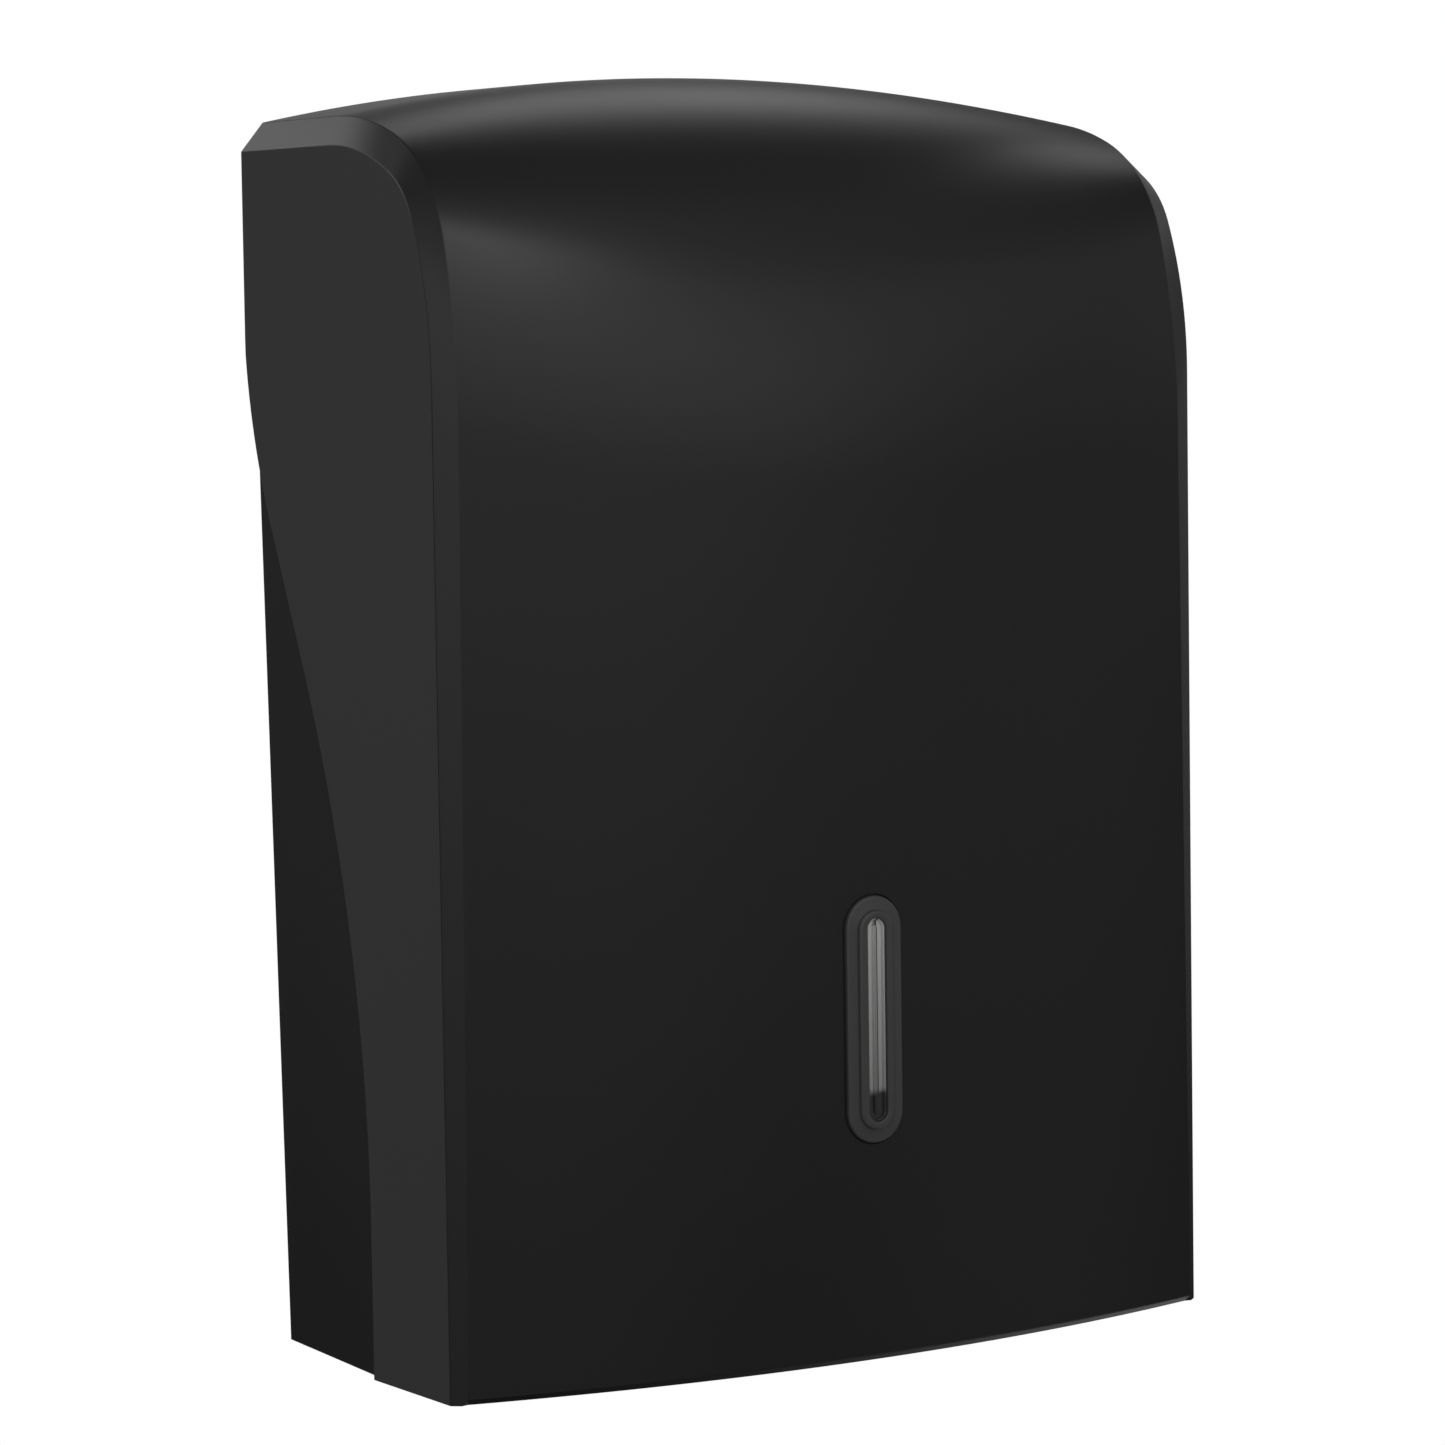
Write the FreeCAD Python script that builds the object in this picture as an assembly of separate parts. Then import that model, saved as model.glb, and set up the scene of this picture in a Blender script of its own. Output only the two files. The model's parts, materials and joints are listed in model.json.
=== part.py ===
"""Wall-mounted folded-towel dispenser: design model in millimetres.

Frame: +Z up, +Y into the wall, X to the right. The origin is the bottom centre
of the face that lies on the wall, so the whole dispenser is at Y <= 0.
"""
import FreeCAD
import Part
import math
import os

V = FreeCAD.Vector

# ---------------------------------------------------------------- driving dimensions
# Front cover. A profile is the side outline of the skin: vertical front, three
# tangent arcs, flat top. Radii run from the top arc down to the front arc.
HALF_WIDTH = 140.0              # side panels
SKIN = 2.6                      # moulded wall
EDGE_HALF = 135.7               # arris between front skin and corner facet, at the bottom
EDGE_TAPER = 0.00896            # the arris leans inwards with height
SIDE_PROFILE = {"front": 118.3, "top": 375.75, "radii": (79.2, 29.7, 124.5), "breaks": (28.5, 67.4)}
EDGE_PROFILE = {"front": 121.8, "top": 384.85, "radii": (95.4, 47.4, 218.2), "breaks": (22.6, 74.7)}
MID_PROFILE = {"front": 139.1, "top": 398.5, "radii": (100.0, 95.0, 218.0), "breaks": (22.6, 74.7)}
COVER_BACK = 0.8                # gap between the cover's rear edge and the wall
LOWER_BEVEL = 2.0               # bevel along the front's lower edge

# Sweep of the cover's rear edge: vertical, arc, slope, arc, vertical.
SWEEP_TOP = 330.0
SWEEP_LEAN = 24.0
SWEEP_UPPER_R = 167.0
SWEEP_LOWER_R = 416.0
SWEEP_SLOPE = 51.4              # length of the straight slope

# Back housing.
HOUSE_TOP = 366.0
HOUSE_WALL = 3.0
HOUSE_HALF = 136.8              # outer half-width under the cover
HOUSE_FOOT_HALF = 130.7         # half-width at the wall, at the bottom
HOUSE_FLARE_DEPTH = 71.3        # the sides flare out over this depth
HOUSE_FRONT = 88.0
SHELF_FRONT = 32.7
LEDGE_LOW, LEDGE_HIGH = 3.0, 6.0
MOUNT_X, MOUNT_LOW, MOUNT_HIGH, MOUNT_R = 95.0, 200.0, 330.0, 2.75
POCKET = 0.8                    # depth of the relieved panels in the rear face

# Cover hinge along X near the lower front corner.
HINGE_Y, HINGE_Z = -109.0, 12.0
PIN_R = 2.5
RUN = 0.05                      # radial running clearance
LUG_IN, LUG_OUT = 127.5, 132.6
BUSH_R, BUSH_FLANGE_R = 4.0, 5.5
BOSS_R = 6.0

# Towel tray and what stands on it.
TRAY_HALF, TRAY_FRONT, TRAY_BACK = 124.0, 108.0, 3.2
FLOOR = 2.5
THROAT_HALF, THROAT_FRONT, THROAT_REAR = 100.0, 74.0, 38.0
GUARD_TOP, GUARD_HALF, GUARD_T = 82.0, 100.0, 1.6
STACK_HALF, STACK_FRONT, STACK_REAR, STACK_TOP = 118.0, 104.0, 8.0, 170.0
GUIDE_IN, GUIDE_T = 120.0, 1.5
GUIDE_LOW, GUIDE_HIGH, GUIDE_FRONT = 20.0, 192.0, 98.0

# Window, centred on the front.
WIN_Z = 106.4
BEZEL_W, BEZEL_H = 20.4, 76.6
COLLAR_W, COLLAR_H = 12.8, 68.0
SLOT_W, SLOT_H = 6.9, 63.0
BEZEL_PROUD, COLLAR_PROUD = 1.2, 2.7
GROOVE = 0.5                    # gap round the bezel
RETAINER_W, RETAINER_H, RETAINER_T = 24.0, 100.0, 2.0

# Cam lock, upright through the top.
LOCK_Y = -24.0
BARREL_R, PLUG_R, LOCK_HEAD_R = 8.0, 6.0, 7.0
BARREL_LOW = 376.0
LOCK_TOP = MID_PROFILE["top"] + 0.2
RIM_R, RIM_SEAT = 10.0, MID_PROFILE["top"] - 1.2    # the rim is let into the cover's top
CAM_LOW, CAM_T, CAM_REACH, CAM_HALF = 369.0, 2.0, 18.0, 4.0

# Pan-head screws.
SCREW_R, SCREW_HEAD_R, SCREW_HEAD_T = 1.5, 3.0, 1.7


# ---------------------------------------------------------------- shared shapes
def box(x0, x1, y0, y1, z0, z1):
    """Box between two corners."""
    return Part.makeBox(x1 - x0, y1 - y0, z1 - z0, V(x0, y0, z0))


def mirrored(shape):
    """The same shape on the other side of the centre plane."""
    return shape.mirror(V(0, 0, 0), V(1, 0, 0))


def both_sides(shape):
    return shape.fuse(mirrored(shape))


def side_plate(points, x0, x1):
    """Plate with a (y, z) outline, from x0 to x1."""
    corners = [V(x0, y, z) for y, z in points]
    face = Part.Face(Part.makePolygon(corners + corners[:1]))
    return face.extrude(V(x1 - x0, 0, 0))


def stadium(width, height, y0, y1, z_mid):
    """Upright slot shape with full-round ends, from y0 to y1, centred on X = 0."""
    r = width / 2
    half = height / 2 - r
    a, b = V(-r, y0, z_mid - half), V(-r, y0, z_mid + half)
    c, d = V(r, y0, z_mid + half), V(r, y0, z_mid - half)
    edges = [
        Part.LineSegment(a, b).toShape(),
        Part.Arc(b, V(0, y0, z_mid + half + r), c).toShape(),
        Part.LineSegment(c, d).toShape(),
        Part.Arc(d, V(0, y0, z_mid - half - r), a).toShape(),
    ]
    return Part.Face(Part.Wire(edges)).extrude(V(0, y1 - y0, 0))


def screw(seat, into, length):
    """Pan-head screw: head outside the seat point, shank along `into`, slotted head."""
    shank = Part.makeCylinder(SCREW_R, length, seat, into)
    head = Part.makeCylinder(SCREW_HEAD_R, SCREW_HEAD_T, seat, into * -1)
    slot = Part.makeBox(SCREW_HEAD_R * 1.5, 0.7, 0.7)
    slot.translate(V(-SCREW_HEAD_R * 0.75, -0.35, SCREW_HEAD_T - 0.7))
    slot.Placement = FreeCAD.Placement(seat, FreeCAD.Rotation(V(0, 0, 1), into * -1)).multiply(slot.Placement)
    return shank.fuse(head).cut(slot)


def screw_hole(seat, into, length):
    return Part.makeCylinder(SCREW_R + RUN, length, seat, into)


def screw_group(seats, into, length):
    return Part.makeCompound([screw(s, into, length) for s in seats])


# ---------------------------------------------------------------- cover surface
def blend_profile(a, b, t):
    """Profile between two profiles that share their break angles."""
    return {
        "front": a["front"] + (b["front"] - a["front"]) * t,
        "top": a["top"] + (b["top"] - a["top"]) * t,
        "radii": tuple(p + (q - p) * t for p, q in zip(a["radii"], b["radii"])),
        "breaks": a["breaks"],
    }


def inset_profile(profile, inset):
    return {
        "front": profile["front"] - inset,
        "top": profile["top"] - inset,
        "radii": tuple(r - inset for r in profile["radii"]),
        "breaks": profile["breaks"],
    }


def profile_arcs(profile):
    """(start, middle, end) of each arc in (y, z), from the flat top to the front."""
    turns = [0.0] + [math.radians(b) for b in profile["breaks"]] + [math.pi / 2]
    spans = list(zip(turns, turns[1:], profile["radii"]))
    reach = sum(r * (math.sin(b) - math.sin(a)) for a, b, r in spans)
    y, z = -(profile["front"] - reach), profile["top"]
    arcs = []
    for a, b, r in spans:
        points = []
        for t in (a, (a + b) / 2, b):
            points.append((y - r * (math.sin(t) - math.sin(a)), z - r * (math.cos(a) - math.cos(t))))
        arcs.append(points)
        y, z = points[-1]
    return arcs


def section(profile, x_at, back, low):
    """Closed section of the cover: x_at(z) gives the section plane."""
    def at(y, z):
        return V(x_at(z), y, z)
    arcs = profile_arcs(profile)
    front, top = -profile["front"], profile["top"]
    edges = [Part.LineSegment(at(back, low), at(back, top)).toShape()]
    edges.append(Part.LineSegment(at(back, top), at(*arcs[0][0])).toShape())
    for start, middle, end in arcs:
        edges.append(Part.Arc(at(*start), at(*middle), at(*end)).toShape())
    edges.append(Part.LineSegment(at(*arcs[-1][2]), at(front, low)).toShape())
    edges.append(Part.LineSegment(at(front, low), at(back, low)).toShape())
    return Part.Wire(edges)


def cover_form(inset, back, low):
    """Solid bounded by the cover's skin, moved inwards by `inset`.

    The front and top bulge as a parabola across the width; a flat facet joins
    them to each side panel.
    """
    stations = [i / 4 for i in range(-4, 5)]
    wires = []
    for u in stations:
        profile = inset_profile(blend_profile(EDGE_PROFILE, MID_PROFILE, 1 - u * u), inset)
        wires.append(section(profile, lambda z, u=u: u * (EDGE_HALF - inset * 0.5 - EDGE_TAPER * z), back, low))
    form = Part.makeLoft(wires, True, False)
    side = inset_profile(SIDE_PROFILE, inset)
    for sign, wire in ((-1, wires[0]), (1, wires[-1])):
        panel = section(side, lambda z, s=sign: s * (HALF_WIDTH - inset), back, low)
        form = form.fuse(Part.makeLoft([wire, panel], True, True))
    return form


def sweep_cutter():
    """Everything behind the swept rear edge of the cover's sides."""
    lean = math.radians(SWEEP_LEAN)
    rise = math.sin(lean)
    run = 1 - math.cos(lean)
    half = math.radians(SWEEP_LEAN / 2)

    def p(y, z):
        return V(-200, y, z)
    a = (0.0, SWEEP_TOP)
    am = (-SWEEP_UPPER_R * (1 - math.cos(half)), SWEEP_TOP - SWEEP_UPPER_R * math.sin(half))
    b = (-SWEEP_UPPER_R * run, SWEEP_TOP - SWEEP_UPPER_R * rise)
    c = (b[0] - SWEEP_SLOPE * rise, b[1] - SWEEP_SLOPE * math.cos(lean))
    d = (c[0] - SWEEP_LOWER_R * run, c[1] - SWEEP_LOWER_R * rise)
    cm = (d[0] + SWEEP_LOWER_R * (1 - math.cos(half)), d[1] + SWEEP_LOWER_R * math.sin(half))
    edges = [
        Part.Arc(p(*a), p(*am), p(*b)).toShape(),
        Part.LineSegment(p(*b), p(*c)).toShape(),
        Part.Arc(p(*c), p(*cm), p(*d)).toShape(),
        Part.LineSegment(p(*d), p(d[0], -20)).toShape(),
        Part.LineSegment(p(d[0], -20), p(20, -20)).toShape(),
        Part.LineSegment(p(20, -20), p(20, SWEEP_TOP)).toShape(),
        Part.LineSegment(p(20, SWEEP_TOP), p(*a)).toShape(),
    ]
    return Part.Face(Part.Wire(edges)).extrude(V(400, 0, 0))


# ---------------------------------------------------------------- cover body
def window_screw_seats():
    return [V(0, -MID_PROFILE["front"] + SKIN + RETAINER_T + 0.2, WIN_Z + s * 45) for s in (-1, 1)]


def front_cover():
    """Moulded cover: skin, hinge lugs, screw bosses and the two locating ribs."""
    outer = cover_form(0.0, -COVER_BACK, 0.0)
    lower = [e for e in outer.Edges
             if e.BoundBox.ZMax < 0.01 and e.BoundBox.YMax < -EDGE_PROFILE["front"] + 1 and e.Length > 50]
    outer = outer.makeChamfer(LOWER_BEVEL, lower)
    hollow = cover_form(SKIN, 30.0, -30.0)
    shell = outer.cut(hollow).cut(sweep_cutter())
    reach = EDGE_PROFILE["front"] - 0.5
    outline = [(HINGE_Y, HINGE_Z - BOSS_R), (HINGE_Y, HINGE_Z + BOSS_R), (-reach, 30.0), (-reach, 5.0)]
    lug = side_plate(outline, LUG_IN, LUG_OUT)
    lug = lug.fuse(Part.makeCylinder(BOSS_R, LUG_OUT - LUG_IN, V(LUG_IN, HINGE_Y, HINGE_Z), V(1, 0, 0)))
    rib = box(98, 102, -SHELF_FRONT - 2.3, -SHELF_FRONT - 0.3, 361, 390).common(cover_form(1.0, 30.0, -30.0))
    for add in (lug, rib):
        shell = shell.fuse(add).fuse(mirrored(add))
    for seat in window_screw_seats():
        boss = Part.makeCylinder(4.0, 2.6, seat + V(0, -RETAINER_T, 0), V(0, -1, 0))
        shell = shell.fuse(boss)
        shell = shell.cut(screw_hole(seat, V(0, -1, 0), RETAINER_T + 2.4))
    shell = shell.cut(stadium(BEZEL_W + 2 * GROOVE, BEZEL_H + 2 * GROOVE, -160, -MID_PROFILE["front"] + 1.0, WIN_Z))
    shell = shell.cut(stadium(COLLAR_W + 3, COLLAR_H + 3, -160, -130, WIN_Z))
    shell = shell.cut(Part.makeCylinder(BARREL_R + 0.1, 40, V(0, LOCK_Y, 380)))
    shell = shell.cut(Part.makeCylinder(RIM_R + 0.2, 20, V(0, LOCK_Y, RIM_SEAT)))
    pins = Part.makeCylinder(PIN_R, 2 * HALF_WIDTH - 8, V(-HALF_WIDTH + 4, HINGE_Y, HINGE_Z), V(1, 0, 0))
    return shell.cut(pins).removeSplitter()


def window_bezel():
    """Oval frame let into the front: flange, proud collar and a spigot through the skin."""
    face = -MID_PROFILE["front"]
    ring = stadium(BEZEL_W, BEZEL_H, face - BEZEL_PROUD, face + 0.9, WIN_Z)
    ring = ring.makeFillet(0.8, [e for e in ring.Edges if e.BoundBox.YMax < face - BEZEL_PROUD + 0.01])
    collar = stadium(COLLAR_W, COLLAR_H, face - COLLAR_PROUD, face + SKIN + 0.1, WIN_Z)
    collar = collar.makeFillet(0.9, [e for e in collar.Edges if e.BoundBox.YMax < face - COLLAR_PROUD + 0.01])
    bezel = ring.fuse(collar)
    bezel = bezel.cut(stadium(SLOT_W, SLOT_H, -160, -130, WIN_Z))
    seat = stadium(SLOT_W + 3, SLOT_H + 3, face + 0.2, -130, WIN_Z)
    return bezel.cut(seat)


def window_lens():
    """Clear capsule lens with a flange that seats behind the collar."""
    face = -MID_PROFILE["front"]
    lens = stadium(SLOT_W - 0.2, SLOT_H - 0.2, face - COLLAR_PROUD + 0.9, face + 1.5, WIN_Z)
    lens = lens.makeFillet(1.4, [e for e in lens.Edges if e.BoundBox.YMax < face - COLLAR_PROUD + 0.91])
    flange = stadium(SLOT_W + 2.6, SLOT_H + 2.6, face + 0.3, face + SKIN, WIN_Z)
    return lens.fuse(flange)


def window_retainer():
    """Frame screwed behind the skin that holds the lens in."""
    back = -MID_PROFILE["front"] + SKIN + 0.2
    frame = stadium(RETAINER_W, RETAINER_H, back, back + RETAINER_T, WIN_Z)
    frame = frame.cut(stadium(SLOT_W, SLOT_H, back - 1, back + 5, WIN_Z))
    for seat in window_screw_seats():
        frame = frame.cut(screw_hole(seat + V(0, 1, 0), V(0, -1, 0), 6))
    return frame


def window_screws():
    return screw_group(window_screw_seats(), V(0, -1, 0), RETAINER_T + 2.2)


def hinge_pin():
    """Right steel pin, pressed into the cover's lug and running in the housing's bush."""
    head = Part.makeCylinder(4.0, 2.0, V(LUG_IN - 2.0, HINGE_Y, HINGE_Z), V(1, 0, 0))
    shaft = Part.makeCylinder(PIN_R, HOUSE_HALF - 0.1 - LUG_IN, V(LUG_IN, HINGE_Y, HINGE_Z), V(1, 0, 0))
    return head.fuse(shaft)


def lock_barrel():
    """Cylinder body that stands in the top of the cover."""
    top = MID_PROFILE["top"]
    body = Part.makeCylinder(BARREL_R, RIM_SEAT + 0.02 - BARREL_LOW, V(0, LOCK_Y, BARREL_LOW))
    rim = Part.makeCylinder(RIM_R, LOCK_TOP - RIM_SEAT - 0.02, V(0, LOCK_Y, RIM_SEAT + 0.02))
    rim = rim.makeFillet(0.25, [e for e in rim.Edges if e.BoundBox.ZMin > LOCK_TOP - 0.01])
    bore = Part.makeCylinder(PLUG_R + RUN, 40, V(0, LOCK_Y, 370))
    recess = Part.makeCylinder(LOCK_HEAD_R + RUN, 10, V(0, LOCK_Y, top - 1.7))
    return body.fuse(rim).cut(bore).cut(recess)


def lock_nut():
    """Hexagonal nut that clamps the barrel under the cover's top."""
    corners = [V(12 * math.cos(math.radians(60 * i)), 12 * math.sin(math.radians(60 * i)), 0) for i in range(6)]
    nut = Part.Face(Part.makePolygon(corners + corners[:1])).extrude(V(0, 0, 5.0))
    nut.translate(V(0, LOCK_Y, MID_PROFILE["top"] - SKIN - 5.3))
    return nut.cut(Part.makeCylinder(BARREL_R + 0.02, 40, V(0, LOCK_Y, 380)))


# ---------------------------------------------------------------- lock body
def lock_plug():
    """Keyed plug: slotted head, round body, square tail for the cam."""
    top = MID_PROFILE["top"]
    head = Part.makeCylinder(LOCK_HEAD_R, LOCK_TOP - 0.2 - (top - 1.5), V(0, LOCK_Y, top - 1.5))
    body = Part.makeCylinder(PLUG_R, top - 1.5 - 375.0, V(0, LOCK_Y, 375.0))
    tail = box(-3.5, 3.5, LOCK_Y - 3.5, LOCK_Y + 3.5, CAM_LOW, 375.0)
    key_slot = box(-0.8, 0.8, LOCK_Y - 4, LOCK_Y + 4, LOCK_TOP - 4, LOCK_TOP + 1)
    thread = Part.makeCylinder(SCREW_R + 0.02, 6, V(0, LOCK_Y, CAM_LOW - 1))
    return head.fuse([body, tail]).cut(key_slot).cut(thread)


def lock_cam():
    """Steel cam: a blade that points at the wall when the lock is open."""
    hub = Part.makeCylinder(5.8, CAM_T, V(0, LOCK_Y, CAM_LOW))
    blade = box(-CAM_HALF, CAM_HALF, LOCK_Y, LOCK_Y + CAM_REACH - CAM_HALF, CAM_LOW, CAM_LOW + CAM_T)
    tip = Part.makeCylinder(CAM_HALF, CAM_T, V(0, LOCK_Y + CAM_REACH - CAM_HALF, CAM_LOW))
    square = box(-3.52, 3.52, LOCK_Y - 3.52, LOCK_Y + 3.52, CAM_LOW - 1, CAM_LOW + CAM_T + 1)
    return hub.fuse([blade, tip]).cut(square)


def cam_washer():
    ring = Part.makeCylinder(5.2, 0.6, V(0, LOCK_Y, CAM_LOW - 0.6))
    return ring.cut(Part.makeCylinder(SCREW_R + 0.1, 2, V(0, LOCK_Y, CAM_LOW - 1)))


def cam_screw():
    return screw(V(0, LOCK_Y, CAM_LOW - 0.6), V(0, 0, 1), 5.0)


# ---------------------------------------------------------------- fixed body
def house_block(inset, back, low, top):
    """Flared block of the housing, its sides moved in by `inset`."""
    def rect(y, low_half, high_half):
        pts = [V(-low_half, y, low), V(low_half, y, low), V(high_half, y, top), V(-high_half, y, top)]
        return Part.makePolygon(pts + pts[:1])
    flare = -HOUSE_FLARE_DEPTH
    share = back / flare
    foot = HOUSE_FOOT_HALF + (HOUSE_HALF - HOUSE_FOOT_HALF) * share - inset
    half = HOUSE_HALF - inset
    block = Part.makeLoft([rect(back, foot, half), rect(flare, half, half)], True, True)
    return block.fuse(box(-half, half, -130, flare, low, top))


def tray_screw_seats():
    return [V(sx * 119, y, LEDGE_LOW) for sx in (-1, 1) for y in (-68, -16)]


def guide_screw_seats(sign):
    return [V(sign * 124.6, -HOUSE_WALL - GUIDE_T, z) for z in (40, 172)]


def keeper_screw_seats():
    return [V(x, -20.0, HOUSE_TOP + 1.2) for x in (28, 39)]


def rear_pocket(x0, x1, z0, z1):
    """Relieved panel of the rear face, with rounded corners."""
    pocket = box(x0, x1, -POCKET, 5, z0, z1)
    return pocket.makeFillet(8.0, [e for e in pocket.Edges if e.BoundBox.YLength > 5])


def back_housing():
    """Moulded housing: wall plate, flared sides, top shelf, hinge arms, tray ledges, ribs."""
    shell = house_block(0.0, 0.0, 0.0, HOUSE_TOP)
    shell = shell.cut(house_block(HOUSE_WALL, -HOUSE_WALL, -1.0, HOUSE_TOP - HOUSE_WALL))
    outline = [(1, -1), (-90, -1), (-92, HINGE_Z - BOSS_R), (HINGE_Y, HINGE_Z - BOSS_R),
               (HINGE_Y, HINGE_Z + BOSS_R), (-94, 24), (-HOUSE_FRONT, 36), (-HOUSE_FRONT, 240),
               (-SHELF_FRONT - 10, 345), (-SHELF_FRONT, 363), (-SHELF_FRONT, 370), (1, 370)]
    boss = Part.makeCylinder(BOSS_R, 300, V(-150, HINGE_Y, HINGE_Z), V(1, 0, 0))
    shell = shell.common(side_plate(outline, -150, 150).fuse(boss))
    ledge = box(112, 140, -80, -2, LEDGE_LOW, LEDGE_HIGH).common(house_block(1.0, -1.0, 0.0, HOUSE_TOP))
    rib = box(59, 61, -7.4, -2, 14, 180)
    shell = shell.fuse([ledge, mirrored(ledge), rib, mirrored(rib)])
    for seat in tray_screw_seats():
        shell = shell.cut(screw_hole(seat + V(0, 0, -1), V(0, 0, 1), 6))
    for sign in (-1, 1):
        for seat in guide_screw_seats(sign):
            shell = shell.cut(screw_hole(seat, V(0, 1, 0), GUIDE_T + 2.6))
    for seat in keeper_screw_seats():
        shell = shell.cut(screw_hole(seat + V(0, 0, 1), V(0, 0, -1), 8))
    for x in (-MOUNT_X, MOUNT_X):
        for z in (MOUNT_LOW, MOUNT_HIGH):
            shell = shell.cut(Part.makeCylinder(MOUNT_R, 20, V(x, -10, z), V(0, 1, 0)))
    for panel in ((-115, -5, 14, 182), (5, 115, 14, 182), (-78, 78, 196, 348)):
        shell = shell.cut(rear_pocket(*panel))
    bore = Part.makeCylinder(BUSH_R, 300, V(-150, HINGE_Y, HINGE_Z), V(1, 0, 0))
    return shell.cut(bore).removeSplitter()


def hinge_bush():
    """Right flanged nylon bush, pressed into the housing's arm."""
    inner = HOUSE_HALF - HOUSE_WALL
    barrel = Part.makeCylinder(BUSH_R, HOUSE_WALL, V(inner, HINGE_Y, HINGE_Z), V(1, 0, 0))
    flange = Part.makeCylinder(BUSH_FLANGE_R, 0.9, V(inner - 0.9, HINGE_Y, HINGE_Z), V(1, 0, 0))
    return barrel.fuse(flange).cut(Part.makeCylinder(PIN_R + RUN, 10, V(inner - 2, HINGE_Y, HINGE_Z), V(1, 0, 0)))


def throat(grow, z0, z1):
    """Dispensing slot in plan, with rounded ends."""
    y0, y1 = -THROAT_FRONT - grow, -THROAT_REAR + grow
    r = (y1 - y0) / 2
    mid = (y0 + y1) / 2
    end = THROAT_HALF + grow - r
    cutter = box(-end, end, y0, y1, z0, z1)
    for x in (-end, end):
        cutter = cutter.fuse(Part.makeCylinder(r, z1 - z0, V(x, mid, z0)))
    return cutter


def towel_tray():
    """Moulded tray: floor with the dispensing slot, a lip round the slot, side rims."""
    z0, z1 = LEDGE_HIGH, LEDGE_HIGH + FLOOR
    tray = box(-TRAY_HALF, TRAY_HALF, -TRAY_FRONT, -TRAY_BACK, z0, z1)
    rim = box(TRAY_HALF - 2, TRAY_HALF, -TRAY_FRONT, -TRAY_BACK, z0, z1 + 8)
    lip = throat(2.0, 1.5, z1)
    tray = tray.fuse([rim, mirrored(rim), lip]).cut(throat(0.0, -5, z1 + 5))
    for seat in tray_screw_seats():
        tray = tray.cut(screw_hole(seat, V(0, 0, 1), 5.0))
    for seat in guard_screw_seats():
        tray = tray.cut(screw_hole(seat, V(0, 0, 1), 3.6))
    return tray.removeSplitter()


def tray_screws():
    return screw_group(tray_screw_seats(), V(0, 0, 1), 4.9)


def guard_screw_seats():
    return [V(sx * 80, -101, LEDGE_HIGH - GUARD_T) for sx in (-1, 1)]


def front_guard():
    """Folded sheet that retains the stack in front, with a dip at the window."""
    z0 = LEDGE_HIGH - GUARD_T
    front = -TRAY_FRONT - GUARD_T
    plate = box(-GUARD_HALF, GUARD_HALF, front, -TRAY_FRONT, z0, GUARD_TOP)
    corners = [e for e in plate.Edges if e.BoundBox.ZMin > GUARD_TOP - 0.01 and e.BoundBox.XLength < 0.01]
    plate = plate.makeFillet(14.0, corners)
    flange = box(-GUARD_HALF, GUARD_HALF, front, -94, z0, LEDGE_HIGH)
    guard = plate.fuse(flange)
    for seat in guard_screw_seats():
        guard = guard.cut(screw_hole(seat + V(0, 0, -1), V(0, 0, 1), 4))
    return guard.removeSplitter()


def guard_screws():
    return screw_group(guard_screw_seats(), V(0, 0, 1), 3.5)


def guide():
    """Right folded sheet that keeps the stack in line, screwed to the wall plate."""
    back = -HOUSE_WALL
    plate = box(GUIDE_IN, GUIDE_IN + GUIDE_T, -GUIDE_FRONT, back, GUIDE_LOW, GUIDE_HIGH)
    corners = [e for e in plate.Edges if e.BoundBox.YMax < -GUIDE_FRONT + 0.01 and e.BoundBox.ZLength < 0.01]
    plate = plate.makeFillet(12.0, corners)
    flange = box(GUIDE_IN, 127.8, back - GUIDE_T, back, GUIDE_LOW, GUIDE_HIGH)
    part = plate.fuse(flange)
    for seat in guide_screw_seats(1):
        part = part.cut(screw_hole(seat + V(0, -1, 0), V(0, 1, 0), 4))
    return part.removeSplitter()


def guide_screws():
    seats = guide_screw_seats(-1) + guide_screw_seats(1)
    return screw_group(seats, V(0, 1, 0), GUIDE_T + 2.5)


def keeper_plate():
    """Folded steel keeper on the shelf; the cam turns behind its upright lip."""
    z0 = HOUSE_TOP
    foot = box(7, 46, -31, -13, z0, z0 + 1.2)
    lip = box(7, 22, -31, -29.6, z0, 374.5)
    keeper = foot.fuse(lip)
    for seat in keeper_screw_seats():
        keeper = keeper.cut(screw_hole(seat + V(0, 0, 1), V(0, 0, -1), 4))
    return keeper.removeSplitter()


def keeper_screws():
    return screw_group(keeper_screw_seats(), V(0, 0, -1), 6.0)


def towel_stack():
    """Interfolded paper towels, as one closed block."""
    z0 = LEDGE_HIGH + FLOOR + 0.3
    block = box(-STACK_HALF, STACK_HALF, -STACK_FRONT, -STACK_REAR, z0, STACK_TOP)
    return block.makeFillet(2.0, [e for e in block.Edges if e.BoundBox.XLength > 50])


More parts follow.
